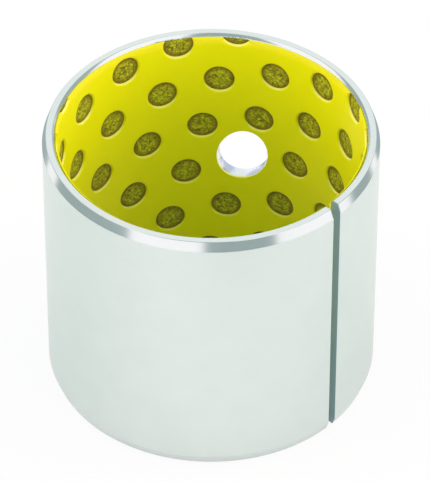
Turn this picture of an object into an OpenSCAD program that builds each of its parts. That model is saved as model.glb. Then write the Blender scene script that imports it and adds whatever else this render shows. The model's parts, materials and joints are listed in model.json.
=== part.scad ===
// Polymer-lined wrapped bushing.
// A steel strip with a thin sintered bronze layer and a pocketed polymer lining, rolled into a
// sleeve with an open butt joint and one oil hole. Sizes are in millimetres.
// +Z runs up the bore, the origin is the centre of the lower end, and the oil hole faces +Y.

/* [Sleeve] */
// Diameter of the running surface
bore_d = 50; // [46:0.5:56]
// Thickness of the whole wall
wall_t = 2.5; // [2.2:0.1:3.5]
// Length of the sleeve along its axis
sleeve_l = 48.5; // [40:0.5:60]

/* [Layers] */
// Thickness of the polymer lining
lining_t = 0.35; // [0.2:0.05:0.5]
// Thickness of the sintered bronze layer between lining and steel
bronze_t = 0.25; // [0.15:0.05:0.35]

/* [Ends] */
// Length along the axis of the lead-in chamfer on the outer edge of each end
lead_l = 1.7; // [0.8:0.1:2.4]
// Angle in degrees between the lead-in chamfer and the axis
lead_angle = 20; // [15:1:25]
// Width of the 45 degree chamfer on the metal's inner edge, which runs on through the lining
inner_chamfer = 0.5; // [0.4:0.05:0.6]

/* [Butt joint] */
// Gap between the two ends of the rolled strip
joint_gap = 1.8; // [0.5:0.1:3]
// Angle in degrees from the oil hole to the joint, clockwise as seen from above
joint_angle = 120.7; // [60:0.1:300]

/* [Oil hole] */
// Width of the oval oil hole
hole_w = 8.6; // [6:0.1:10]
// Length of the oil hole beyond its width
hole_stretch = 2.2; // [0.2:0.1:5]
// Radius of the hole's ends, as a share of half its width
hole_end_share = 0.87; // [0.7:0.01:0.95]
// Angle in degrees by which the hole's length leans to the right, as seen from the bore
hole_lean = 21; // [-25:1:25]
// Height of the hole's centre above the middle of the sleeve
hole_rise = -1.25; // [-4:0.05:4]

/* [Pockets] */
// Diameter of a pocket at the running surface
pocket_d = 5.4; // [3:0.1:6]
// Angle in degrees between a pocket's wall and its axis
pocket_draft = 25; // [10:1:40]
// Distance between neighbouring pockets of a row
pocket_pitch = 9.96; // [8:0.02:14]
// Distance between neighbouring rows
row_spacing = 9.1; // [8:0.02:14]
// Angle in degrees at which the rows run downhill, anticlockwise as seen from above
row_slant = 14.1; // [0:0.1:20]
// Shift of each row along the row below it, as a share of the pitch
row_stagger = 0.479; // [0:0.001:1]
// Height of the row pattern's origin above the oil hole's centre
pattern_rise = -1.6; // [-4:0.1:4]

/* [Hidden] */

STEEL_COLOUR = [0.84, 0.88, 0.87];
BRONZE_COLOUR = [0.42, 0.36, 0.12];
LINING_COLOUR = [0.87, 0.84, 0.12];

RING_FN = 180;
HOLE_FN = 96;
POCKET_FN = 48;

// Length by which a cutter runs past the face it cuts
over = 1;
// Depth by which a pocket's cutter runs past the lining on each side
pocket_over = 0.5;

bore_r = bore_d / 2;
bronze_r = bore_r + lining_t;
steel_r = bronze_r + bronze_t;
outer_r = bore_r + wall_t;
lead_t = lead_l * tan(lead_angle);
chamfer_r = bronze_r + inner_chamfer;

// The hole's outline has four arcs that run smoothly into each other: two ends and two flatter sides
hole_half_w = hole_w / 2;
hole_half_l = hole_half_w + hole_stretch / 2;
hole_end_r = hole_half_w * hole_end_share;
hole_end_offset = hole_half_l - hole_end_r;
hole_narrowing = hole_half_w - hole_end_r;
hole_side_offset = (hole_end_offset ^ 2 - hole_narrowing ^ 2) / (2 * hole_narrowing);
hole_side_r = hole_side_offset + hole_half_w;
hole_half_side = hole_end_offset * hole_side_r / (hole_side_r - hole_end_r);
hole_z = sleeve_l / 2 + hole_rise;
hole_azimuth = 90;
joint_azimuth = hole_azimuth - joint_angle;

pocket_r = pocket_d / 2;
pocket_slope = tan(pocket_draft);
// Distances along the running surface, anticlockwise from the oil hole, of the strip's two ends
mm_per_degree = bore_r * PI / 180;
strip_start = -joint_angle * mm_per_degree;
strip_end = (360 - joint_angle) * mm_per_degree;
rows_each_way = ceil((sleeve_l + 360 * mm_per_degree) / row_spacing);
pockets_each_way = ceil((sleeve_l + 360 * mm_per_degree) / pocket_pitch);

// Place of a pocket on the unrolled strip: distance anticlockwise from the oil hole, and height
function pocket_place(row, step) =
    let (along = (step + row * row_stagger) * pocket_pitch, across = row * row_spacing)
    [
        along * cos(row_slant) + across * sin(row_slant),
        hole_z + pattern_rise - along * sin(row_slant) + across * cos(row_slant)
    ];

function on_strip(place) =
    place[0] > strip_start - pocket_r && place[0] < strip_end + pocket_r
    && place[1] > -pocket_r && place[1] < sleeve_l + pocket_r;

// A pocket whose middle falls in the oil hole is lost in it
function in_hole(place) =
    abs(place[0]) < hole_half_w && abs(place[1] - hole_z) < hole_half_l;

pocket_places = [
    for (row = [-rows_each_way : rows_each_way], step = [-pockets_each_way : pockets_each_way])
        let (place = pocket_place(row, step))
        if (on_strip(place) && !in_hole(place)) place
];

// A full ring whose seam lies in the joint, so that each wall of the open sleeve is one face
module sleeve(profile) {
    rotate([0, 0, joint_azimuth])
        rotate_extrude($fn = RING_FN) polygon(profile);
}

// The parallel-sided gap where the strip's ends face each other
module joint_cutter() {
    rotate([0, 0, joint_azimuth])
        translate([0, -joint_gap / 2, -over])
            cube([outer_r + over, joint_gap, sleeve_l + 2 * over]);
}

// A round rod along +Y, set off from the hole's middle across and along the hole
module hole_rod(across, along, radius, reach) {
    translate([across, 0, along])
        rotate([-90, 0, 0])
            cylinder(h = reach, r = radius, $fn = HOLE_FN);
}

// A leaning oval hole through the wall on the +Y side
module hole_cutter() {
    reach = outer_r + over - bore_r / 2;
    translate([0, bore_r / 2, hole_z])
        rotate([0, hole_lean, 0]) {
            for (end = [-1, 1])
                hole_rod(0, end * hole_end_offset, hole_end_r, reach);
            intersection() {
                hole_rod(-hole_side_offset, 0, hole_side_r, reach);
                hole_rod(hole_side_offset, 0, hole_side_r, reach);
                translate([-hole_w, 0, -hole_half_side])
                    cube([2 * hole_w, reach, 2 * hole_half_side]);
            }
        }
}

// A tapered round pocket, widest towards the bore
module pocket_cutter(place) {
    rotate([0, 0, hole_azimuth + place[0] / mm_per_degree])
        translate([bore_r - pocket_over, 0, place[1]])
            rotate([0, 90, 0])
                cylinder(
                    h = lining_t + 2 * pocket_over,
                    r1 = pocket_r + pocket_over * pocket_slope,
                    r2 = pocket_r - (lining_t + pocket_over) * pocket_slope,
                    $fn = POCKET_FN
                );
}

// The space on one side of the joint: anticlockwise of it for 1, clockwise for -1
module joint_side(side) {
    rotate([0, 0, joint_azimuth])
        translate([0, side > 0 ? 0 : -outer_r, -over])
            cube([outer_r, outer_r, sleeve_l + 2 * over]);
}

// Pockets that the shears cut through stop at their own end of the strip
module pocket_cutters() {
    for (place = pocket_places) {
        if (place[0] < strip_start + pocket_d)
            intersection() {
                pocket_cutter(place);
                joint_side(1);
            }
        else if (place[0] > strip_end - pocket_d)
            intersection() {
                pocket_cutter(place);
                joint_side(-1);
            }
        else
            pocket_cutter(place);
    }
}

module steel_back() {
    color(STEEL_COLOUR)
        difference() {
            sleeve([
                [chamfer_r, 0],
                [outer_r - lead_t, 0],
                [outer_r, lead_l],
                [outer_r, sleeve_l - lead_l],
                [outer_r - lead_t, sleeve_l],
                [chamfer_r, sleeve_l],
                [steel_r, sleeve_l - (chamfer_r - steel_r)],
                [steel_r, chamfer_r - steel_r]
            ]);
            joint_cutter();
            hole_cutter();
        }
}

module bronze_interlayer() {
    color(BRONZE_COLOUR)
        difference() {
            sleeve([
                [bronze_r, inner_chamfer],
                [steel_r, chamfer_r - steel_r],
                [steel_r, sleeve_l - (chamfer_r - steel_r)],
                [bronze_r, sleeve_l - inner_chamfer]
            ]);
            joint_cutter();
            hole_cutter();
        }
}

module polymer_lining() {
    color(LINING_COLOUR)
        difference() {
            sleeve([
                [bore_r, chamfer_r - bore_r],
                [bronze_r, inner_chamfer],
                [bronze_r, sleeve_l - inner_chamfer],
                [bore_r, sleeve_l - (chamfer_r - bore_r)]
            ]);
            joint_cutter();
            hole_cutter();
            pocket_cutters();
        }
}

steel_back();
bronze_interlayer();
polymer_lining();
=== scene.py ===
"""A polymer-lined wrapped bushing, finished for show.

Each layer is modelled as it is made: as a flat strip, drawn at one unit to the millimetre, with its
pockets, oil hole and trimmed ends. It is then rolled into a sleeve and brought to metres, in the
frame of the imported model: +Z runs up the bore and the oil hole faces +Y.

On the flat strip X is the distance round the running surface, anticlockwise from the oil hole, Y is
minus the depth below the running surface, and Z is the height.
"""

import json
import logging
import math
from dataclasses import dataclass, field
from enum import Enum
from typing import Any, Callable, Optional

import bmesh
import bpy
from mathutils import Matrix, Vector


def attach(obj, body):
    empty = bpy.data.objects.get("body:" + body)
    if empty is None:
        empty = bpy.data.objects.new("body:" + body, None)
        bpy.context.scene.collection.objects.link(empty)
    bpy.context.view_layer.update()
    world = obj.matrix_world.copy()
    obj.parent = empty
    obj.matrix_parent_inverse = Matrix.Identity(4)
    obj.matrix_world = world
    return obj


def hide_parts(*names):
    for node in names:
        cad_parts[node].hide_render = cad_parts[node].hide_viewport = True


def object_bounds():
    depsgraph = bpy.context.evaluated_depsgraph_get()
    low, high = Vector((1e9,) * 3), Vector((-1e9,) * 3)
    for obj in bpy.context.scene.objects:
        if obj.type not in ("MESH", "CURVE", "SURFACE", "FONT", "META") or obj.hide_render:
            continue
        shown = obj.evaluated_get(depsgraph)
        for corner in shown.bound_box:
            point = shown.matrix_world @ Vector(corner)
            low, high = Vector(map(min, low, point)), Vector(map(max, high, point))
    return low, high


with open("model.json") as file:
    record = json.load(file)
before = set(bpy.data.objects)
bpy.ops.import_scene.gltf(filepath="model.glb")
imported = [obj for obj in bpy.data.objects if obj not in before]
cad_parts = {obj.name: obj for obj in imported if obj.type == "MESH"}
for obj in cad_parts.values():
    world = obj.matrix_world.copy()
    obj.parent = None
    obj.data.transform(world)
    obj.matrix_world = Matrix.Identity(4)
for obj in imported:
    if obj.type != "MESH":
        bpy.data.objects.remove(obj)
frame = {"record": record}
cad_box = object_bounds()
log = logging.getLogger("bushing")

Colour = tuple[float, float, float]

# Metres in a millimetre
MM = 0.001
# The frame's only body
BODY = "root"
# Millimetres within which two places on the flat strip are the same
NEAR = 1e-4
# Turn that makes a new primitive face along Y
UPRIGHT = (math.pi / 2, 0.0, 0.0)
WHITE: Colour = (1.0, 1.0, 1.0)
BLACK: Colour = (0.0, 0.0, 0.0)


class Part(Enum):
    """What a selection is made of."""

    VERTS = "VERT"
    EDGES = "EDGE"
    FACES = "FACE"


class Place(Enum):
    """The two ends of the sleeve."""

    LOWER = -1
    UPPER = 1


class Value:
    """A number in a shader. Sums on it add Math nodes."""

    def __init__(self, graph: "Graph", socket: bpy.types.NodeSocket) -> None:
        """Wrap an output socket.

        Args:
            graph: the graph that the socket is in.
            socket: the socket that gives the number.
        """
        self.graph = graph
        self.socket = socket

    def maths(self, operation: str, *others: Any) -> "Value":
        """Add one Math node to this number.

        Args:
            operation: the Math node's operation.
            others: the other numbers that it takes, wrapped or plain.

        Returns:
            The result.
        """
        return self.graph.sum(operation, self, *others)

    def __add__(self, other: Any) -> "Value":
        """This number plus another."""
        return self.maths("ADD", other)

    def __radd__(self, other: Any) -> "Value":
        """Another number plus this one."""
        return self.graph.sum("ADD", other, self)

    def __sub__(self, other: Any) -> "Value":
        """This number less another."""
        return self.maths("SUBTRACT", other)

    def __rsub__(self, other: Any) -> "Value":
        """Another number less this one."""
        return self.graph.sum("SUBTRACT", other, self)

    def __mul__(self, other: Any) -> "Value":
        """This number times another."""
        return self.maths("MULTIPLY", other)

    def __rmul__(self, other: Any) -> "Value":
        """Another number times this one."""
        return self.graph.sum("MULTIPLY", other, self)

    def __truediv__(self, other: Any) -> "Value":
        """This number over another."""
        return self.maths("DIVIDE", other)

    def __rtruediv__(self, other: Any) -> "Value":
        """Another number over this one."""
        return self.graph.sum("DIVIDE", other, self)

    def __gt__(self, other: Any) -> "Value":
        """One where this number is the larger."""
        return self.maths("GREATER_THAN", other)

    def __lt__(self, other: Any) -> "Value":
        """One where this number is the smaller."""
        return self.maths("LESS_THAN", other)

    def __abs__(self) -> "Value":
        """This number without its sign."""
        return self.maths("ABSOLUTE")

    def most(self, other: Any) -> "Value":
        """The larger of this number and another."""
        return self.maths("MAXIMUM", other)

    def least(self, other: Any) -> "Value":
        """The smaller of this number and another."""
        return self.maths("MINIMUM", other)

    def where(self, mask: "Value", other: Any) -> "Value":
        """This number, or another one where a mask is one."""
        return self * (1 - mask) + other * mask

    def ease(self, low: float, high: float) -> "Value":
        """Go smoothly from 0 to 1 as this number goes from low to high.

        Args:
            low: where the rise starts.
            high: where it ends.

        Returns:
            The eased number.
        """
        return self.graph.number(
            "ShaderNodeMapRange",
            {"interpolation_type": "SMOOTHSTEP"},
            Value=self,
            From_Min=low,
            From_Max=high,
        )

    def spread(self) -> "Value":
        """Stretch the middle part of a cloud, where most of it lies, to go from 0 to 1."""
        return self.span(0.3, 0.7, 0.0, 1.0)

    def span(self, low: float, high: float, start: float, end: float) -> "Value":
        """Map a range of this number evenly onto another range, and hold it there.

        Args:
            low: where this number's range starts.
            high: where it ends.
            start: what the start maps to.
            end: what the end maps to.

        Returns:
            The mapped number.
        """
        return self.graph.number(
            "ShaderNodeMapRange",
            {"interpolation_type": "LINEAR", "clamp": True},
            Value=self,
            From_Min=low,
            From_Max=high,
            To_Min=start,
            To_Max=end,
        )


@dataclass
class Graph:
    """The nodes of one material or world."""

    tree: bpy.types.NodeTree

    @staticmethod
    def of_material(name: str) -> tuple[bpy.types.Material, "Graph"]:
        """Start an empty material.

        Args:
            name: the material's name.

        Returns:
            The material and its graph.
        """
        material = bpy.data.materials.new(name)
        material.use_nodes = True
        material.node_tree.nodes.clear()
        return material, Graph(material.node_tree)

    @staticmethod
    def find(sockets: Any, key: str) -> bpy.types.NodeSocket:
        """Find a socket by its identifier or its name, with underscores for spaces.

        Args:
            sockets: a node's inputs or outputs.
            key: the identifier or name.

        Returns:
            The socket.
        """
        spaced = key.replace("_", " ")
        for test in (lambda s: s.identifier == key, lambda s: s.name in (key, spaced)):
            for socket in sockets:
                if socket.enabled and test(socket):
                    return socket
        raise KeyError(f"no socket {key}")

    def node(self, kind: str, settings: Optional[dict[str, Any]] = None, **inputs: Any) -> Any:
        """Add a node.

        Args:
            kind: the node's type.
            settings: what is set on it first; the stops of a ramp go under "stops".
            inputs: a value or a link for each named socket.

        Returns:
            The node.
        """
        made = self.tree.nodes.new(kind)
        for name, setting in (settings or {}).items():
            if name == "stops":
                ramp = made.color_ramp
                while len(ramp.elements) < len(setting):
                    ramp.elements.new(1.0)
                for stop, (position, colour) in zip(ramp.elements, setting):
                    stop.position = position
                    stop.color = (*colour, 1.0)
            else:
                setattr(made, name, setting)
        for key, given in inputs.items():
            self.feed(self.find(made.inputs, key), given)
        return made

    def feed(self, socket: bpy.types.NodeSocket, given: Any) -> None:
        """Link or set one socket.

        Args:
            socket: the input.
            given: a wrapped number, an output socket, a number, or a colour or vector.
        """
        if isinstance(given, Value):
            given = given.socket
        if isinstance(given, bpy.types.NodeSocket):
            self.tree.links.new(given, socket)
        elif socket.type == "RGBA":
            socket.default_value = (*given, 1.0)[:4]
        else:
            socket.default_value = given

    def number(self, kind: str, settings: Optional[dict[str, Any]] = None, **inputs: Any) -> Value:
        """Add a node and take its first output that is in use as a number."""
        made = self.node(kind, settings, **inputs)
        return Value(self, next(s for s in made.outputs if s.enabled))

    def sum(self, operation: str, *terms: Any) -> Value:
        """Add a Math node.

        Args:
            operation: its operation.
            terms: the numbers that it takes, wrapped or plain.

        Returns:
            The result.
        """
        made = self.node("ShaderNodeMath", {"operation": operation})
        for socket, term in zip(made.inputs, terms):
            self.feed(socket, term)
        return Value(self, made.outputs[0])

    def blend(self, share: Any, first: Any, second: Any) -> bpy.types.NodeSocket:
        """Mix two colours.

        Args:
            share: how much of the second there is.
            first: the first colour.
            second: the second colour.

        Returns:
            The mixed colour's socket.
        """
        made = self.node(
            "ShaderNodeMix",
            {"data_type": "RGBA"},
            Factor_Float=share,
            A_Color=first,
            B_Color=second,
        )
        return self.find(made.outputs, "Result_Color")

    def vector(self, operation: str, first: Any, second: Any) -> bpy.types.NodeSocket:
        """Add a Vector Math node.

        Args:
            operation: its operation.
            first: the first vector.
            second: the second vector.

        Returns:
            The result's socket.
        """
        made = self.node("ShaderNodeVectorMath", {"operation": operation})
        self.feed(made.inputs[0], first)
        self.feed(made.inputs[1], second)
        return made.outputs["Vector"]

    def place(self) -> bpy.types.NodeSocket:
        """The place on the piece, in metres."""
        return self.node("ShaderNodeTexCoord").outputs["Object"]

    def split(self, vector: Any) -> tuple[Value, Value, Value]:
        """Take a vector apart.

        Args:
            vector: the vector's socket.

        Returns:
            Its three numbers.
        """
        made = self.node("ShaderNodeSeparateXYZ", Vector=vector)
        return tuple(Value(self, made.outputs[axis]) for axis in "XYZ")

    def cloud(self, place: Any, size: float, detail: float = 2.0, rough: float = 0.5) -> Value:
        """Soft irregular variation from 0 to 1.

        Args:
            place: the place to take it at.
            size: the size of a patch, in the place's units.
            detail: how many finer layers it has.
            rough: how strong those layers are.

        Returns:
            The variation.
        """
        return self.number(
            "ShaderNodeTexNoise",
            {"noise_dimensions": "3D"},
            Vector=place,
            Scale=1.0 / size,
            Detail=detail,
            Roughness=rough,
        )

    def relief(self, height: Any, depth: float, strength: float = 1.0) -> bpy.types.NodeSocket:
        """Turn a height into a normal.

        Args:
            height: the height, from 0 to 1.
            depth: what a height of 1 stands for, in metres.
            strength: how much of it shows.

        Returns:
            The normal's socket.
        """
        made = self.node("ShaderNodeBump", Strength=strength, Distance=depth, Height=height)
        return made.outputs["Normal"]

    def mix(self, share: Any, first: Any, second: Any) -> bpy.types.NodeSocket:
        """Mix two shaders.

        Args:
            share: how much of the second there is.
            first: the first shader's socket.
            second: the second shader's socket.

        Returns:
            The mixed shader's socket.
        """
        made = self.node("ShaderNodeMixShader", Fac=share, Shader=first, Shader_001=second)
        return made.outputs[0]

    def both(self, first: Any, second: Any) -> bpy.types.NodeSocket:
        """Add two shaders up."""
        return self.node("ShaderNodeAddShader", Shader=first, Shader_001=second).outputs[0]

    def glow(self, colour: Any, strength: Any = 1.0) -> bpy.types.NodeSocket:
        """Add a Background node to a world and give its socket."""
        return self.node("ShaderNodeBackground", Color=colour, Strength=strength).outputs[0]

    def surface(self, **inputs: Any) -> None:
        """End a material in a Principled BSDF with these sockets."""
        shader = self.node("ShaderNodeBsdfPrincipled", **inputs)
        self.node("ShaderNodeOutputMaterial", Surface=shader.outputs["BSDF"])


@dataclass
class Bench:
    """The bench: one piece, shaped in edit mode and finished with modifiers."""

    piece: bpy.types.Object

    @staticmethod
    def clear() -> None:
        """Leave edit mode and select nothing."""
        if bpy.context.mode != "OBJECT":
            bpy.ops.object.mode_set(mode="OBJECT")
        bpy.ops.object.select_all(action="DESELECT")

    @classmethod
    def take(cls, name: str) -> "Bench":
        """Name the piece that was just added and settle its place in its mesh.

        Args:
            name: the piece's name.

        Returns:
            The bench with the piece on it, in edit mode.
        """
        piece = bpy.context.object
        piece.name = piece.data.name = name
        bpy.ops.object.transform_apply(location=True, rotation=True, scale=True)
        bpy.ops.object.mode_set(mode="EDIT")
        return cls(piece)

    @classmethod
    def block(cls, name: str, low: Vector, high: Vector) -> "Bench":
        """Start a piece from a block.

        Args:
            name: the piece's name.
            low: its lowest corner.
            high: its highest corner.

        Returns:
            The bench with the block on it, in edit mode.
        """
        cls.clear()
        bpy.ops.mesh.primitive_cube_add(size=1.0, location=(low + high) / 2)
        bpy.context.object.scale = high - low
        return cls.take(name)

    def pick(self, part: Part, test: Callable[[Any], bool]) -> int:
        """Select the vertices, edges or faces that pass a test, and nothing else.

        Args:
            part: which of them.
            test: says whether one is wanted.

        Returns:
            How many were found.
        """
        bpy.ops.mesh.select_mode(type=part.value)
        bpy.ops.mesh.select_all(action="DESELECT")
        mesh = bmesh.from_edit_mesh(self.piece.data)
        mesh.normal_update()
        pool = {Part.VERTS: mesh.verts, Part.EDGES: mesh.edges, Part.FACES: mesh.faces}[part]
        found = [element for element in pool if test(element)]
        for element in found:
            element.select_set(True)
        bmesh.update_edit_mesh(self.piece.data)
        return len(found)

    def all(self) -> None:
        """Select the whole mesh."""
        bpy.ops.mesh.select_all(action="SELECT")

    def pick_open(self, depth: float, reach: float = math.inf) -> None:
        """Select the open edges of a cell at a depth.

        Args:
            depth: the edges' depth below the running surface.
            reach: how far they may be from the cell's middle.
        """

        def near(vert: Any) -> bool:
            """Say whether a vertex is at the depth and within reach."""
            at = vert.co
            return abs(at.y + depth) < NEAR and math.hypot(at.x, at.z) < reach + NEAR

        self.pick(Part.EDGES, lambda e: len(e.link_faces) < 2 and all(near(v) for v in e.verts))

    def trim(self, point: Vector, normal: Vector) -> None:
        """Saw off what lies beyond a plane and close the cut.

        Args:
            point: a point of the plane.
            normal: the way to what is taken off.
        """
        self.all()
        bpy.ops.mesh.bisect(plane_co=point, plane_no=normal, clear_outer=True)
        self.all()
        bpy.ops.mesh.fill_holes(sides=0)

    def score(self, start: float, end: float, count: int) -> None:
        """Divide the strip evenly along X, so that it can bend.

        Args:
            start: the strip's first end.
            end: its other end.
            count: how many parts there are to be.
        """
        for step in range(1, count):
            self.all()
            across = start + (end - start) * step / count
            bpy.ops.mesh.bisect(plane_co=(across, 0.0, 0.0), plane_no=(1.0, 0.0, 0.0))

    def score_ends(self, start: float, end: float, count: int) -> None:
        """Divide only the many-sided faces that trimming left on the ends of the bore.

        Args:
            start: the strip's first end.
            end: its other end.
            count: how many parts there are to be.
        """
        few, level = 12, 0.5
        self.pick(Part.FACES, lambda f: len(f.verts) <= few or abs(f.normal.z) < level)
        bpy.ops.mesh.hide(unselected=False)
        self.score(start, end, count)
        bpy.ops.mesh.reveal(select=False)

    def split_ends(self) -> None:
        """Cut the many-sided faces that trimming left into triangles, so that they can bend."""
        self.pick(Part.FACES, lambda f: len(f.verts) > 4)
        bpy.ops.mesh.quads_convert_to_tris(quad_method="BEAUTY", ngon_method="BEAUTY")

    def modify(self, kind: str, **settings: Any) -> None:
        """Add a modifier to the piece and apply it.

        Args:
            kind: the modifier's type.
            settings: what is set on it.
        """
        bpy.ops.object.mode_set(mode="OBJECT")
        bpy.ops.object.modifier_add(type=kind)
        made = self.piece.modifiers[-1]
        for name, setting in settings.items():
            setattr(made, name, setting)
        bpy.ops.object.modifier_apply(modifier=made.name)

    def cut(self, cutter: bpy.types.Object) -> None:
        """Take a cutter's shape out of the piece."""
        self.modify("BOOLEAN", operation="DIFFERENCE", solver="EXACT", object=cutter)
        bpy.ops.object.mode_set(mode="EDIT")

    def clean(self) -> None:
        """Weld stray doubles and turn every face outwards."""
        self.all()
        bpy.ops.mesh.remove_doubles(threshold=NEAR)
        bpy.ops.mesh.dissolve_degenerate(threshold=NEAR)
        self.all()
        bpy.ops.mesh.normals_make_consistent(inside=False)

    def drop_idle(self) -> None:
        """Dissolve the vertices in which only two edges meet."""
        if self.pick(Part.VERTS, lambda v: len(v.link_edges) == 2):
            bpy.ops.mesh.dissolve_verts()

    def roll(self, radius: float) -> None:
        """Roll the flat strip into a sleeve round the Z axis, and bring it to metres.

        Args:
            radius: the radius that the strip's Y = 0 is rolled to, in millimetres.
        """
        bpy.ops.object.mode_set(mode="OBJECT")
        across = [vert.co.x for vert in self.piece.data.vertices]
        turn = (max(across) - min(across)) / radius
        self.modify("SIMPLE_DEFORM", deform_method="BEND", deform_axis="Z", angle=turn)
        self.piece.rotation_euler.z = math.pi
        self.piece.location.y = radius * MM
        self.piece.scale = (MM, MM, MM)
        bpy.ops.object.transform_apply(location=True, rotation=True, scale=True)

    def smooth(self, angle: float) -> None:
        """Shade the piece smooth, but for edges sharper than an angle in degrees."""
        bpy.ops.object.shade_smooth_by_angle(angle=math.radians(angle))
        self.modify("WEIGHTED_NORMAL", keep_sharp=True, weight=50)


@dataclass(frozen=True)
class Strip:
    """The sizes that the layers share, in millimetres on the flat strip."""

    bore_r: float
    outer_r: float
    length: float
    lead_l: float
    setback: float
    hole_z: float
    hole_w: float
    hole_l: float
    hole_lean: float = math.radians(21.0)
    hole_sides: int = 240
    lining_t: float = 0.35
    bronze_t: float = 0.25
    lead_angle: float = math.radians(20.0)
    joint_gap: float = 1.8
    joint_angle: float = math.radians(120.7)

    @classmethod
    def from_frame(cls) -> "Strip":
        """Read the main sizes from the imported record.

        Returns:
            The strip's sizes.
        """
        mounts = {mount["name"]: mount for mount in frame["record"]["mounts"]}
        length = (cad_box[1].z - cad_box[0].z) / MM
        bore, seat, hole = (mounts[name] for name in ("bore", "housing_seat", "oil_hole"))
        return cls(
            bore_r=bore["dims"]["r_mm"],
            outer_r=seat["dims"]["r_mm"],
            length=length,
            lead_l=(length - seat["dims"]["length_mm"]) / 2,
            setback=(length - bore["dims"]["length_mm"]) / 2,
            hole_z=hole["pos_m"][2] / MM,
            hole_w=hole["dims"]["hole_r_mm"] * 2,
            hole_l=hole["dims"]["slot_length_mm"],
        )

    @property
    def wall_t(self) -> float:
        """Thickness of the whole wall."""
        return self.outer_r - self.bore_r

    @property
    def steel_depth(self) -> float:
        """Depth of the steel below the running surface."""
        return self.lining_t + self.bronze_t

    @property
    def start(self) -> float:
        """Place of the joint's middle, clockwise of the oil hole."""
        return -self.joint_angle * self.bore_r

    @property
    def end(self) -> float:
        """Place of the joint's middle, anticlockwise of the oil hole."""
        return (2 * math.pi - self.joint_angle) * self.bore_r

    def arc(self, offset: float, depth: float) -> float:
        """Distance on the strip that rolls to an offset from a radial plane.

        Args:
            offset: the offset on the rolled sleeve.
            depth: the depth below the running surface.

        Returns:
            The distance along X.
        """
        return self.bore_r * math.asin(offset / (self.bore_r + depth))

    def off_joint(self, x: Any, y: Any) -> tuple[Any, Any]:
        """Measure a place on the rolled sleeve from the joint's middle plane.

        Args:
            x: the place's X, a number or a shader's value.
            y: its Y.

        Returns:
            How far out towards the joint it is, and how far from the plane.
        """
        cosine, sine = math.sin(self.joint_angle), math.cos(self.joint_angle)
        return x * cosine + y * sine, y * cosine - x * sine

    def off_hole(self, x: Any, z: Any) -> Any:
        """Measure a place on the rolled sleeve from the middle of the oval oil hole.

        Args:
            x: the place's X in metres, a number or a shader's value.
            z: its Z.

        Returns:
            A number that is below 1 inside the hole, 1 on its wall and more beyond it.
        """
        sine, cosine = math.sin(self.hole_lean), math.cos(self.hole_lean)
        x, z = x / MM, z / MM - self.hole_z
        along = (x * sine + z * cosine) / (self.hole_l / 2)
        across = (x * cosine - z * sine) / (self.hole_w / 2)
        return along * along + across * across

    def trim_joint(self, bench: Bench) -> None:
        """Shear both ends of the strip, leaning so that the rolled joint's gap is parallel.

        Args:
            bench: the bench with the strip on it.
        """
        near = self.arc(self.joint_gap / 2, 0.0)
        lean = near - self.arc(self.joint_gap / 2, self.wall_t)
        for end, way in ((self.start, -1), (self.end, 1)):
            bench.trim(Vector((end - way * near, 0.0, 0.0)), Vector((way * self.wall_t, lean, 0.0)))

    def trim_ends(self, bench: Bench, depth: float, height: float, tilt: float) -> None:
        """Turn both ends of the sleeve with a plane cut.

        Args:
            bench: the bench with the strip on it.
            depth: depth below the running surface of a line on the cut.
            height: how far that line lies from the end of the sleeve.
            tilt: angle from the end face, towards the bore when positive.
        """
        for place in Place:
            at = height if place is Place.LOWER else self.length - height
            normal = Vector((0.0, math.sin(tilt), place.value * math.cos(tilt)))
            bench.trim(Vector((0.0, -depth, at)), normal)

    def chamfer_bore(self, bench: Bench) -> None:
        """Turn the chamfer that runs through every layer at both ends of the bore."""
        self.trim_ends(bench, 0.0, self.setback, math.pi / 4)

    def hole_punch(self) -> bpy.types.Object:
        """Make the cutter of the oil hole: oval, and tapered so that it is straight when rolled.

        Returns:
            The cutter.
        """
        over = 1.0
        depths = (-over, self.wall_t + over)
        half_w = self.hole_w / 2
        Bench.clear()
        bpy.ops.mesh.primitive_cylinder_add(
            vertices=self.hole_sides,
            radius=half_w,
            depth=depths[1] - depths[0],
            location=(0.0, -sum(depths) / 2, self.hole_z),
            rotation=UPRIGHT,
        )
        bench = Bench.take("hole_punch")
        bench.all()
        middle = (0.0, 0.0, self.hole_z)
        stretch = (1.0, 1.0, self.hole_l / self.hole_w)
        bpy.ops.transform.resize(value=stretch, center_override=middle)
        bpy.ops.transform.rotate(value=self.hole_lean, orient_axis="Y", center_override=middle)
        slope = (self.arc(half_w, self.wall_t) - self.arc(half_w, 0.0)) / self.wall_t
        for depth in depths:
            width = (self.arc(half_w, 0.0) + slope * depth) / half_w
            bench.pick(Part.VERTS, lambda v: abs(v.co.y + depth) < NEAR)
            bpy.ops.transform.resize(value=(width, 1.0, 1.0), center_override=middle)
        bpy.ops.object.mode_set(mode="OBJECT")
        return bench.piece


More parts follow.
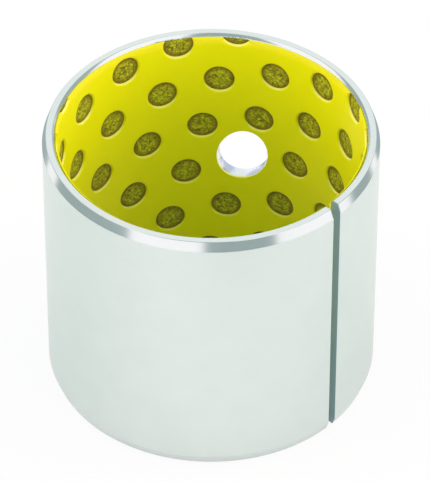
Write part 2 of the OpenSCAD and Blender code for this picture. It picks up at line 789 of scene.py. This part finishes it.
@dataclass(frozen=True)
class PocketLattice:
    """The skewed rows in which the pockets lie on the flat strip, in millimetres."""

    mouth_r: float = 2.7
    draft: float = math.radians(25.0)
    pitch: float = 9.96
    row_spacing: float = 9.1
    slant: float = math.radians(14.1)
    stagger: float = 0.479
    rise: float = -1.6

    @property
    def step(self) -> Vector:
        """From a pocket to the next one of its row."""
        return Vector((self.pitch * math.cos(self.slant), 0.0, -self.pitch * math.sin(self.slant)))

    @property
    def row(self) -> Vector:
        """From a pocket to its neighbour in the next row up."""
        across = Vector((math.sin(self.slant), 0.0, math.cos(self.slant))) * self.row_spacing
        return self.step * self.stagger + across

    def foot_r(self, depth: float) -> float:
        """A pocket's radius at a depth below its mouth."""
        return self.mouth_r - depth * math.tan(self.draft)

    def address(self, x: Any, z: Any) -> tuple[Any, Any]:
        """Count the way from the lattice's origin to a place in steps and rows.

        Args:
            x: the place's X from the origin, a number or a shader's value.
            z: its Z.

        Returns:
            The steps along the row and the rows up.
        """
        step, row = self.step, self.row
        area = step.x * row.z - step.z * row.x
        return (x * row.z - z * row.x) / area, (z * step.x - x * step.z) / area

    def reach(self, strip: Strip) -> tuple[range, range]:
        """Find the steps and rows that cover the strip.

        Args:
            strip: the strip's sizes.

        Returns:
            The steps and the rows.
        """
        foot = strip.hole_z + self.rise
        corners = [(x, z - foot) for x in (strip.start, strip.end) for z in (0.0, strip.length)]
        return tuple(
            range(math.floor(min(counts) + 0.5), math.ceil(max(counts) + 0.5))
            for counts in zip(*(self.address(x, z) for x, z in corners))
        )

    def from_middle(self, strip: Strip, x: Value, y: Value, z: Value) -> Value:
        """Measure a place on the rolled sleeve from the middle of its pocket.

        Args:
            strip: the strip's sizes.
            x: the place's X in metres.
            y: its Y.
            z: its Z.

        Returns:
            The distance in millimetres along the running surface.
        """
        turn = (0 - x).maths("ARCTAN2", y)
        turn = turn + (turn < -strip.joint_angle) * (2 * math.pi)
        along, up = turn * strip.bore_r, z / MM - (strip.hole_z + self.rise)
        step, row = self.step, self.row
        steps, rows = self.address(along, up)
        steps, rows = steps - steps.maths("ROUND"), rows - rows.maths("ROUND")
        along, up = steps * step.x + rows * row.x, steps * step.z + rows * row.z
        return (along * along + up * up).maths("SQRT")

    def outline(self, name: str, depth: float, sides: int) -> Bench:
        """Start a piece from the outline of one pocket's share of the strip.

        Args:
            name: the piece's name.
            depth: depth of the outline below the running surface.
            sides: number of edges round it, a multiple of four.

        Returns:
            The bench with the outline on it, in edit mode.
        """
        Bench.clear()
        bpy.ops.mesh.primitive_plane_add(size=2.0, location=(0.0, -depth, 0.0), rotation=UPRIGHT)
        bench = Bench.take(name)
        for along in (-1, 1):
            for up in (-1, 1):
                corner = Vector((along, -depth, up))
                bench.pick(Part.VERTS, lambda v: (v.co - corner).length < NEAR)
                move = (self.step * along + self.row * up) / 2 - Vector((along, 0.0, up))
                bpy.ops.transform.translate(value=move)
        bench.all()
        bpy.ops.mesh.delete(type="ONLY_FACE")
        bench.all()
        bpy.ops.mesh.subdivide(number_cuts=sides // 4 - 1)
        return bench

    @staticmethod
    def ring(depth: float, radius: float, sides: int) -> None:
        """Add a circle round the pocket's middle to the open piece.

        Args:
            depth: the circle's depth below the running surface.
            radius: its radius.
            sides: number of edges round it.
        """
        bpy.ops.mesh.primitive_circle_add(
            vertices=sides, radius=radius, location=(0.0, -depth, 0.0), rotation=UPRIGHT
        )

    @staticmethod
    def bridge(bench: Bench, depth: float, cuts: int, reach: float = math.inf) -> None:
        """Join the two open loops that lie at a depth.

        Args:
            bench: the bench with the piece on it.
            depth: the loops' depth.
            cuts: how many loops there are to be between them.
            reach: loops further from the pocket's middle than this are left alone.
        """
        bench.pick_open(depth, reach)
        bpy.ops.mesh.bridge_edge_loops(number_cuts=cuts, interpolation="LINEAR")

    @staticmethod
    def copy_outline(bench: Bench, depth: float, other: float) -> None:
        """Copy the cell's open outline to another depth.

        Args:
            bench: the bench with the cell on it.
            depth: the outline's depth.
            other: the copy's depth.
        """
        bench.pick_open(depth)
        bpy.ops.mesh.duplicate()
        bpy.ops.transform.translate(value=(0.0, depth - other, 0.0))

    def repeat(self, bench: Bench, strip: Strip) -> None:
        """Lay copies of the one cell all over the strip, and close the sheet's rim.

        Args:
            bench: the bench with the cell on it.
            strip: the strip's sizes.
        """
        steps, rows = self.reach(strip)
        bench.all()
        first = self.step * steps[0] + self.row * rows[0]
        bpy.ops.transform.translate(value=first + Vector((0.0, 0.0, strip.hole_z + self.rise)))
        for way, places in ((self.step, steps), (self.row, rows)):
            bench.modify(
                "ARRAY",
                count=len(places),
                use_relative_offset=False,
                use_constant_offset=True,
                constant_offset_displace=way,
                use_merge_vertices=True,
                merge_threshold=NEAR,
            )
        bpy.ops.object.mode_set(mode="EDIT")
        bench.all()
        bpy.ops.mesh.remove_doubles(threshold=NEAR)
        bench.pick(Part.EDGES, lambda e: len(e.link_faces) == 1)
        bpy.ops.mesh.bridge_edge_loops(number_cuts=0)
        bench.all()
        bpy.ops.mesh.normals_make_consistent(inside=False)


@dataclass(frozen=True)
class TinnedSteel:
    """Satin tin flash on rolled steel: bright where it was turned, duller where it was cut. The
    joint's cut faces are painted dark, partly as their duller bare steel and partly as painted
    shade of the narrow gap, with more painted shade towards both ends.

    Sizes are in millimetres.
    """

    name: str = "tinned_steel"
    pale: Colour = (0.755, 0.825, 0.80)
    dull: Colour = (0.72, 0.79, 0.765)
    punched: Colour = (0.74, 0.81, 0.82)
    # the joint's cut faces: partly their duller bare steel, partly painted shade of the narrow gap
    sheared_and_shaded: Colour = (0.36, 0.515, 0.60)
    wall_rough: float = 0.36
    turned_rough: float = 0.16
    punched_rough: float = 0.22
    sheared_rough: float = 0.5
    mottle: float = 5.0
    grain: float = 0.25
    roll_mark: float = 0.3
    lathe_mark: float = 0.06
    punch_mark: float = 0.5
    relief: float = 0.004
    # painted shade: the span, in millimetres from either end, over which the joint's cut faces are
    # painted darker
    painted_end_shade: tuple[float, float] = (4.0, 1.0)
    painted_end_shade_share: float = 0.15

    def material(self, strip: Strip) -> bpy.types.Material:
        """Make the finish.

        Args:
            strip: the strip's sizes, which say where the turned ends, the joint and the hole are.

        Returns:
            The material.
        """
        material, graph = Graph.of_material(self.name)
        place = graph.place()
        x, y, z = graph.split(place)
        slack = 0.05
        middle = strip.length / 2 * MM
        from_middle = abs(z - middle)
        turned = from_middle > (middle - (strip.lead_l - slack) * MM)
        radius = graph.sum("SQRT", x * x + y * y)
        in_hole = (strip.off_hole(x, z) < 1.0 + slack / 2) * (y > 0.0)
        out, across = strip.off_joint(x, y)
        in_joint = (abs(across) < (strip.joint_gap / 2 + slack) * MM) * (out > 0.0)
        in_joint = in_joint * (radius < (strip.outer_r - slack) * MM)
        mottle = graph.cloud(place, self.mottle * MM, 3.0, 0.6)
        grain = graph.cloud(place, self.grain * MM, 2.0, 0.6)
        upright = graph.vector("MULTIPLY", place, (1.0, 1.0, 0.04))
        rolled = graph.cloud(upright, self.roll_mark * MM)
        lathe = graph.number(
            "ShaderNodeTexNoise",
            {"noise_dimensions": "1D"},
            W=radius - from_middle * 0.7,
            Scale=1.0 / (self.lathe_mark * MM),
            Detail=1.0,
        )
        inwards = graph.vector("MULTIPLY", place, (1.0, 0.05, 1.0))
        drawn = graph.cloud(inwards, self.punch_mark * MM)
        worn = mottle.spread()
        height = (grain * 0.4 + rolled * 0.6) * (1 - turned) * (1 - in_hole)
        height = height + lathe * 0.2 * turned + drawn * 0.02 * in_hole
        rough = self.wall_rough + (worn - 0.5) * 0.08 + (grain - 0.5) * 0.1
        rough = rough.where(turned, self.turned_rough + (lathe - 0.5) * 0.06)
        rough = rough.where(in_hole, self.punched_rough + (drawn - 0.5) * 0.05)
        rough = rough.where(in_joint, self.sheared_rough + (grain - 0.5) * 0.2)
        colour = graph.blend(worn * 0.7 + grain * 0.3, self.dull, self.pale)
        colour = graph.blend(in_hole, colour, self.punched)
        # painted shade: the joint's cut faces are painted darker towards both ends of the sleeve
        painted_end_shade = from_middle.ease(*(middle - from_end * MM for from_end in self.painted_end_shade))
        sheared_and_shaded = graph.blend(painted_end_shade * self.painted_end_shade_share, self.sheared_and_shaded, BLACK)
        graph.surface(
            Base_Color=graph.blend(in_joint, colour, sheared_and_shaded),
            Metallic=1 - in_joint * 0.5,
            Roughness=rough,
            Normal=graph.relief(height, self.relief * MM, 0.5),
        )
        return material


@dataclass(frozen=True)
class SinteredBronze:
    """Rough grains of bronze, with the yellow polymer rolled into their gaps, and a dark ring of
    painted shade on the floor at the foot of each pocket's wall.

    Sizes are in millimetres.
    """

    name: str = "sintered_bronze"
    dark: Colour = (0.085, 0.065, 0.002)
    brown: Colour = (0.35, 0.345, 0.008)
    olive: Colour = (0.66, 0.71, 0.025)
    # painted shade: the dark brown laid in a ring on the floor at the foot of each pocket's wall,
    # with its span and share below
    ring: Colour = (0.14, 0.10, 0.003)
    grain: float = 0.40
    fine: float = 0.22
    drift: float = 0.7
    relief: float = 0.05
    foot_shade_from: float = 1.1
    foot_shade_to: float = 0.05
    foot_shade_share: float = 0.85

    def material(self, strip: Strip, lattice: PocketLattice) -> bpy.types.Material:
        """Make the finish.

        Args:
            strip: the strip's sizes.
            lattice: the pockets, at whose foot the floor is painted darker as shade.

        Returns:
            The material.
        """
        material, graph = Graph.of_material(self.name)
        place = graph.place()
        x, y, z = graph.split(place)
        foot_r = lattice.foot_r(strip.lining_t)
        out = lattice.from_middle(strip, x, y, z)
        # painted shade: one towards the foot of the pocket's wall, where the floor is painted
        # darker
        rim = out.ease(foot_r - self.foot_shade_from, foot_r - self.foot_shade_to)
        drift = graph.cloud(place, self.drift * MM, 2.0)
        cells = graph.node(
            "ShaderNodeTexVoronoi",
            {"feature": "F1"},
            Vector=place,
            Scale=1.0 / (self.grain * MM),
            Randomness=1.0,
        )
        bead = 1 - Value(graph, cells.outputs["Distance"]).span(0.1, 0.75, 0.0, 1.0)
        tint, _, _ = graph.split(cells.outputs["Color"])
        fine = graph.cloud(place, self.fine * MM, 2.0, 0.6).spread()
        tone = bead * 0.2 + tint * 0.4 + fine * 0.34 + drift * 0.44 - 0.18
        ramp = graph.node(
            "ShaderNodeValToRGB",
            {"stops": [(0.15, self.dark), (0.5, self.brown), (0.85, self.olive)]},
            Fac=tone,
        )
        graph.surface(
            Base_Color=graph.blend(rim * self.foot_shade_share, ramp.outputs["Color"], self.ring),
            Metallic=(tint > 0.78) * bead * 0.4,
            Roughness=0.75 - bead * 0.25,
            Normal=graph.relief(bead * 0.6 + fine * 0.4, self.relief * MM, 0.6),
        )
        return material


@dataclass(frozen=True)
class YellowPolymer:
    """Moulded yellow polymer with a low sheen and a faint orange peel. Its colour carries painted
    light: a warmer, brighter band near both ends, a pale highlight on faces that look upwards, and
    painted shade on the chamfers.

    Sizes are in millimetres.
    """

    name: str = "yellow_polymer"
    bright: Colour = (0.84, 0.84, 0.006)
    deep: Colour = (0.80, 0.80, 0.004)
    # painted light: a warmer, brighter yellow laid in a band near both ends of the bore, where
    # light falls in at the rim; its span and share follow below
    painted_rim_light: Colour = (0.97, 0.88, 0.03)
    # painted shade: the chamfers through the lining, which face the light, are painted darker and
    # duller
    cut: Colour = (0.72, 0.68, 0.014)
    # painted highlight: a pale yellow laid on faces that look upwards, such as the pockets' lower
    # lips
    painted_top_light: Colour = (0.96, 0.90, 0.36)
    sheen: float = 0.12
    rough: float = 0.34
    patch: float = 6.0
    peel: float = 0.9
    speck: float = 0.18
    relief: float = 0.012
    chamfer_l: float = 0.87
    rim_light_from: float = 0.9
    rim_light_to: float = 2.3
    rim_light_share: float = 0.8
    painted_top_light_share: float = 0.5

    def material(self, strip: Strip) -> bpy.types.Material:
        """Make the finish.

        Args:
            strip: the strip's sizes, which say where the chamfers cut the lining.

        Returns:
            The material.
        """
        material, graph = Graph.of_material(self.name)
        place = graph.place()
        _, _, z = graph.split(place)
        middle = strip.length / 2 * MM
        from_end = middle - abs(z - middle)
        # painted shade: one on the chamfers, which are painted darker
        chamfer_shade_mask = from_end < self.chamfer_l * MM
        # painted light: one in the band near the ends that is painted warmer and brighter
        rim_light_mask = 1 - from_end.ease(self.rim_light_from * MM, self.rim_light_to * MM)
        patch = graph.cloud(place, self.patch * MM, 3.0, 0.55)
        peel = graph.cloud(place, self.peel * MM, 2.0)
        speck = graph.cloud(place, self.speck * MM, 1.0)
        share = patch.spread() * 0.6 + peel * 0.3 + speck * 0.1
        colour = graph.blend(share, self.deep, self.bright)
        colour = graph.blend(rim_light_mask * self.rim_light_share, colour, self.painted_rim_light)
        # painted highlight: faces that look upwards are painted paler
        _, _, tilt = graph.split(graph.node("ShaderNodeTexCoord").outputs["Normal"])
        colour = graph.blend(tilt.ease(0.2, 0.7) * self.painted_top_light_share, colour, self.painted_top_light)
        graph.surface(
            Base_Color=graph.blend(chamfer_shade_mask, colour, self.cut),
            Specular_IOR_Level=self.sheen,
            Roughness=self.rough + (patch - 0.5) * 0.12 + (speck - 0.5) * 0.06,
            Normal=graph.relief(peel * 0.8 + speck * 0.2, self.relief * MM, 0.5),
        )
        return material


@dataclass
class SteelBack:
    """The rolled steel strip that carries the other layers.

    Sizes are in millimetres.
    """

    strip: Strip
    name: str = "steel_back"
    edge_r: float = 0.09
    sharp: float = math.radians(12.0)
    parts: int = 288
    crease: float = 35.0
    piece: Optional[bpy.types.Object] = field(default=None, init=False)

    def build(self, punch: bpy.types.Object) -> None:
        """Model the strip flat and roll it.

        Args:
            punch: the cutter of the oil hole.
        """
        strip = self.strip
        inner = -strip.steel_depth
        bench = Bench.block(
            f"{self.name}_rolled",
            Vector((strip.start, -strip.wall_t, 0.0)),
            Vector((strip.end, inner, strip.length)),
        )
        strip.trim_joint(bench)
        strip.chamfer_bore(bench)
        strip.trim_ends(bench, strip.wall_t, strip.lead_l, strip.lead_angle - math.pi / 2)
        bench.cut(punch)
        bench.clean()
        bench.pick(
            Part.EDGES,
            lambda e: e.calc_face_angle(0.0) > self.sharp
            and any(abs(v.co.y - inner) > NEAR for v in e.verts)
            and (e.verts[0].co - e.verts[1].co).length > NEAR,
        )
        bpy.ops.mesh.bevel(offset=self.edge_r, segments=2, affect="EDGES", clamp_overlap=True)
        bench.score(strip.start, strip.end, self.parts)
        bench.clean()
        bench.roll(strip.bore_r)
        bench.smooth(self.crease)
        self.piece = bench.piece

    def dress(self, steel: bpy.types.Material) -> None:
        """Give the strip its finish and set it in the frame."""
        self.piece.data.materials.append(steel)
        settle(self.piece, self.name)


@dataclass
class BronzeInterlayer:
    """The thin sintered layer whose grains show on the floors of the pockets.

    Sizes are in millimetres.
    """

    strip: Strip
    lattice: PocketLattice
    name: str = "bronze_interlayer"
    sides: int = 40
    rings: int = 13
    end_parts: int = 144
    tuck: float = 0.1
    eye_r: float = 0.16
    grain: float = 0.42
    relief: float = 0.09
    bare_edge: float = 0.02
    fade: float = 0.25
    crease: float = 60.0
    piece: Optional[bpy.types.Object] = field(default=None, init=False)

    def build(self, punch: bpy.types.Object) -> None:
        """Model one pocket's floor, repeat it, trim the sheet and roll it.

        Args:
            punch: the cutter of the oil hole.
        """
        strip, lattice = self.strip, self.lattice
        top, bottom = strip.lining_t, strip.steel_depth
        floor_r = lattice.foot_r(top) + self.tuck
        bench = lattice.outline(f"{self.name}_rolled", top, self.sides)
        for depth, rings in ((top, self.rings), (bottom, 1)):
            lattice.ring(depth, floor_r, self.sides)
            lattice.bridge(bench, depth, 2)
            lattice.ring(depth, self.eye_r, self.sides)
            lattice.bridge(bench, depth, rings, floor_r)
            bench.pick_open(depth, self.eye_r)
            bpy.ops.mesh.edge_face_add()
            if depth == top:
                lattice.copy_outline(bench, top, bottom)
        self.mark_floor(bench, top, lattice.foot_r(top))
        lattice.repeat(bench, strip)
        bench.cut(punch)
        strip.trim_joint(bench)
        strip.chamfer_bore(bench)
        bench.clean()
        bench.drop_idle()
        bench.score_ends(strip.start, strip.end, self.end_parts)
        bench.split_ends()
        self.roughen(bench)
        bench.roll(strip.bore_r)
        bench.smooth(self.crease)
        self.piece = bench.piece

    def mark_floor(self, bench: Bench, depth: float, foot_r: float) -> None:
        """Weigh the floor's vertices for the grains, fading out below the pocket's wall.

        Args:
            bench: the bench with the cell on it.
            depth: the floor's depth.
            foot_r: the radius of the pocket's wall at the floor.
        """
        bpy.ops.object.mode_set(mode="OBJECT")
        group = bench.piece.vertex_groups.new(name="floor")
        for vert in bench.piece.data.vertices:
            radius = math.hypot(vert.co.x, vert.co.z)
            if abs(vert.co.y + depth) < NEAR and radius < foot_r - self.bare_edge:
                weight = min(1.0, (foot_r - radius) / self.fade)
                group.add([vert.index], weight, "REPLACE")
        bpy.ops.object.mode_set(mode="EDIT")

    def roughen(self, bench: Bench) -> None:
        """Raise the grains on the floors, and keep the cut edges straight.

        Args:
            bench: the bench with the layer on it.
        """
        level = 0.9
        bench.pick(Part.VERTS, lambda v: any(abs(f.normal.y) < level for f in v.link_faces))
        bpy.ops.object.vertex_group_remove_from(use_all_groups=True)
        grains = bpy.data.textures.new("bronze_grains", "VORONOI")
        grains.noise_scale = self.grain
        grains.distance_metric = "DISTANCE"
        bench.modify(
            "DISPLACE",
            texture=grains,
            texture_coords="LOCAL",
            direction="Y",
            vertex_group="floor",
            mid_level=0.4,
            strength=-self.relief * 2,
        )

    def dress(self, bronze: bpy.types.Material, steel: bpy.types.Material) -> None:
        """Finish the floors as bronze and the cut edges as tinned, and set the layer in the frame.

        Args:
            bronze: the finish of the floors.
            steel: the finish of the cut edges.
        """
        bench = Bench(self.piece)
        self.piece.data.materials.append(bronze)
        self.piece.data.materials.append(steel)
        strip = self.strip
        edge = strip.setback - strip.lining_t
        low, high = edge * MM, (strip.length - edge) * MM
        slack = 0.01 * MM
        reach = 1.01

        def cut_edge(face: Any) -> bool:
            """Say whether a face is on an end, on the joint or in the oil hole.

            Args:
                face: the face.

            Returns:
                True if it is a cut edge of the layer.
            """
            at = face.calc_center_median()
            if at.z < low - slack or at.z > high + slack:
                return True
            if at.y > 0 and strip.off_hole(at.x, at.z) < reach:
                return True
            out, across = strip.off_joint(at.x, at.y)
            return out > 0 and abs(across) < strip.joint_gap / 2 * MM + slack

        bpy.ops.object.mode_set(mode="EDIT")
        bench.pick(Part.FACES, cut_edge)
        self.piece.active_material_index = 1
        bpy.ops.object.material_slot_assign()
        bpy.ops.object.mode_set(mode="OBJECT")
        settle(self.piece, self.name)


@dataclass
class PolymerLining:
    """The yellow running surface with its grease pockets.

    Sizes are in millimetres.
    """

    strip: Strip
    lattice: PocketLattice
    name: str = "polymer_lining"
    sides: int = 48
    lip_r: float = 0.2
    crease: float = 40.0
    piece: Optional[bpy.types.Object] = field(default=None, init=False)

    def build(self, punch: bpy.types.Object) -> None:
        """Model one pocket, repeat it, trim the sheet and roll it.

        Args:
            punch: the cutter of the oil hole.
        """
        strip, lattice = self.strip, self.lattice
        mouth_r, foot_r = lattice.mouth_r, lattice.foot_r(strip.lining_t)
        bench = lattice.outline(f"{self.name}_rolled", 0.0, self.sides)
        lattice.ring(0.0, mouth_r, self.sides)
        lattice.bridge(bench, 0.0, 3)
        bench.pick(Part.EDGES, lambda e: self.on_ring(e, mouth_r))
        bpy.ops.mesh.extrude_edges_move()
        bpy.ops.transform.translate(value=(0.0, -strip.lining_t, 0.0))
        shrink = foot_r / mouth_r
        bpy.ops.transform.resize(value=(shrink, 1.0, shrink), center_override=(0.0, 0.0, 0.0))
        lattice.copy_outline(bench, 0.0, strip.lining_t)
        lattice.bridge(bench, strip.lining_t, 2)
        bench.pick(Part.EDGES, lambda e: self.on_ring(e, mouth_r))
        bpy.ops.mesh.bevel(offset=self.lip_r, segments=3, affect="EDGES")
        lattice.repeat(bench, strip)
        bench.cut(punch)
        strip.trim_joint(bench)
        strip.chamfer_bore(bench)
        bench.clean()
        bench.split_ends()
        bench.roll(strip.bore_r)
        bench.smooth(self.crease)
        self.piece = bench.piece

    @staticmethod
    def on_ring(edge: Any, radius: float) -> bool:
        """Say whether an edge of the cell lies on a ring at the running surface.

        Args:
            edge: the edge.
            radius: the ring's radius.

        Returns:
            True if both ends of the edge do.
        """
        places = [vert.co for vert in edge.verts]
        off = [max(abs(at.y), abs(math.hypot(at.x, at.z) - radius)) for at in places]
        return max(off) < NEAR

    def dress(self, polymer: bpy.types.Material) -> None:
        """Give the lining its finish and set it in the frame."""
        self.piece.data.materials.append(polymer)
        settle(self.piece, self.name)


@dataclass
class Studio:
    """A plain pale floor, soft light with a few dark cards, and the camera.

    Sizes are in metres.
    """

    target: tuple[float, float, float] = (0.0, 0.0, 0.02425)
    azimuth: float = math.radians(12.37)
    elevation: float = math.radians(41.61)
    distance: float = 0.7014
    lens: float = 315.98
    shift: tuple[float, float] = (0.00815, 0.0074)
    sheet_side: float = 0.12
    sheet_back: float = 0.059
    sheet: Colour = (0.79, 0.785, 0.83)
    show_white: float = 0.88
    mirror_white: float = 0.3
    card: Colour = (0.40, 0.47, 0.48)
    blue_card: Colour = (0.60, 0.64, 0.82)
    hot: Colour = (1.22, 1.13, 1.18)
    overhead: Colour = (0.30, 0.66, 0.62)
    haze: Colour = (1.55, 0.80, 0.70)
    sides: Colour = (6.0, 4.3, 3.9)
    right_gain: float = 0.15
    under: float = 0.35

    def build(self) -> None:
        """Set up the camera, the floor and the light."""
        self.camera()
        self.floor()
        self.light()

    def camera(self) -> None:
        """Place the camera where the photograph was taken."""
        flat = math.cos(self.elevation)
        back = Vector(
            (
                flat * math.sin(self.azimuth),
                -flat * math.cos(self.azimuth),
                math.sin(self.elevation),
            )
        )
        lens = bpy.data.cameras.new("camera")
        lens.lens = self.lens
        lens.shift_x, lens.shift_y = self.shift
        lens.clip_start, lens.clip_end = 0.01, 10.0
        camera = bpy.data.objects.new("camera", lens)
        bpy.context.scene.collection.objects.link(camera)
        camera.location = Vector(self.target) + back * self.distance
        camera.rotation_mode = "QUATERNION"
        camera.rotation_quaternion = (-back).to_track_quat("-Z", "Y")
        bpy.context.scene.camera = camera

    @staticmethod
    def seen(graph: Graph) -> tuple[Value, Value]:
        """Tell rays that show the background from rays that light the object.

        Args:
            graph: the graph to add to.

        Returns:
            One for rays straight from the camera or through glass, and one for mirrored rays.
        """
        path = graph.node("ShaderNodeLightPath")
        kinds = ("Camera", "Transmission", "Glossy")
        camera, through, glossy = (Value(graph, path.outputs[f"Is {kind} Ray"]) for kind in kinds)
        straight = camera.most(through)
        return straight, glossy * (1 - straight)

    def floor(self) -> None:
        """Lay the floor, which keeps the object's shadow but shows as white."""
        Bench.clear()
        bpy.ops.mesh.primitive_plane_add(size=2.0 * self.sheet_side)
        bench = Bench.take("floor")
        bench.pick(Part.VERTS, lambda v: v.co.y > 0.0)
        bpy.ops.transform.translate(value=(0.0, self.sheet_back - self.sheet_side, 0.0))
        bpy.ops.object.mode_set(mode="OBJECT")
        bench.piece.rotation_euler.z = self.azimuth
        material, graph = Graph.of_material("pale_floor")
        straight, mirrored = self.seen(graph)
        white = graph.node("ShaderNodeEmission", Color=WHITE, Strength=1.0)
        matt = graph.node("ShaderNodeBsdfDiffuse", Color=self.sheet)
        share = straight * self.show_white + mirrored * self.mirror_white
        mixed = graph.mix(share, matt.outputs[0], white.outputs[0])
        graph.node("ShaderNodeOutputMaterial", Surface=mixed)
        bench.piece.data.materials.append(material)

    def light(self) -> None:
        """Light the object from a pale room with a few dark cards, seen only as reflections."""
        world = bpy.data.worlds.new("studio")
        bpy.context.scene.world = world
        world.use_nodes = True
        world.node_tree.nodes.clear()
        graph = Graph(world.node_tree)
        x, y, z = graph.split(graph.node("ShaderNodeTexCoord").outputs["Generated"])
        sine, cosine = math.sin(self.azimuth), math.cos(self.azimuth)
        front = x * sine - y * cosine
        right = x * cosine + y * sine
        angle = right.maths("ARCTAN2", front) * (180 / math.pi)
        rise = z.maths("ARCSINE") * (180 / math.pi)
        straight, mirrored = self.seen(graph)
        low = (1 - z).least(1.0)
        above = z.span(-0.1, 0.1, self.under, 1.0)
        beside = right * right * (right * self.right_gain + 1.0) * z.most(0.0)
        lit = graph.glow(self.overhead, above)
        for colour, level in ((self.haze, low * low), (self.sides, beside)):
            lit = graph.both(lit, graph.glow(colour, level * above))
        behind = rise.ease(12.0, 22.0) * abs(angle).ease(105.0, 120.0)
        shade = graph.blend(behind, self.hot, WHITE)
        blue = self.band(abs(angle), 133.0, 158.0, 5.0) * self.band(rise, -20.0, 31.0, 5.0)
        shade = graph.blend(blue, shade, self.blue_card)
        shade = graph.blend(self.cards(angle, rise), shade, self.card)
        room = graph.mix(mirrored, lit, graph.glow(shade))
        graph.node("ShaderNodeOutputWorld", Surface=graph.mix(straight, room, graph.glow(WHITE)))
        bpy.context.scene.view_settings.view_transform = "Standard"

    def cards(self, angle: Value, rise: Value) -> Value:
        """Stand dark cards round the object.

        Args:
            angle: direction round the object, in degrees to the right of the camera's side.
            rise: direction above the horizon, in degrees.

        Returns:
            One on a card and zero beside it.
        """
        high = rise.ease(10.0, 25.0)
        up = rise.ease(-3.0, 3.0)
        dark = abs(angle - 3.0).ease(129.5, 135.5) * (1 - rise.ease(-24.0, -20.0))
        for start, end, soft, where in (
            (-46.0, 18.0, 6.0, high),
            (-4.0, 39.5, 3.0, 1 - high),
            (96.5, 123.0, 5.0, 1 - up),
            (88.0, 131.0, 6.0, up),
            (-113.5, -51.0, 5.0, 1 - up),
            (-138.0, -102.0, 6.0, up),
        ):
            dark = dark.most(self.band(angle, start, end, soft) * where)
        return dark

    @staticmethod
    def band(angle: Value, start: float, end: float, soft: float) -> Value:
        """An upright band in the room.

        Args:
            angle: direction round the object, in degrees to the right of the camera's side.
            start: where the band starts.
            end: where it ends.
            soft: the width of its soft edges.

        Returns:
            One in the band and zero outside it.
        """
        middle, half = (start + end) / 2, (end - start) / 2
        return 1 - abs(angle - middle).ease(half - soft / 2, half + soft / 2)


def settle(piece: bpy.types.Object, node: str) -> None:
    """Set a piece in the frame.

    Args:
        piece: the piece.
        node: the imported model's node that it stands for.
    """
    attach(piece, BODY)
    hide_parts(node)
    log.info("%s: %d vertices", piece.name, len(piece.data.vertices))


def main() -> None:
    """Build and dress the bushing and its studio."""
    logging.basicConfig(level=logging.INFO, format="%(name)s %(message)s")
    strip = Strip.from_frame()
    lattice = PocketLattice()
    punch = strip.hole_punch()
    tinned = TinnedSteel().material(strip)
    steel = SteelBack(strip)
    steel.build(punch)
    steel.dress(tinned)
    bronze = BronzeInterlayer(strip, lattice)
    bronze.build(punch)
    bronze.dress(SinteredBronze().material(strip, lattice), tinned)
    lining = PolymerLining(strip, lattice)
    lining.build(punch)
    lining.dress(YellowPolymer().material(strip))
    bpy.data.objects.remove(punch)
    Studio().build()
    bpy.context.view_layer.update()


if __name__ == "__main__":
    main()
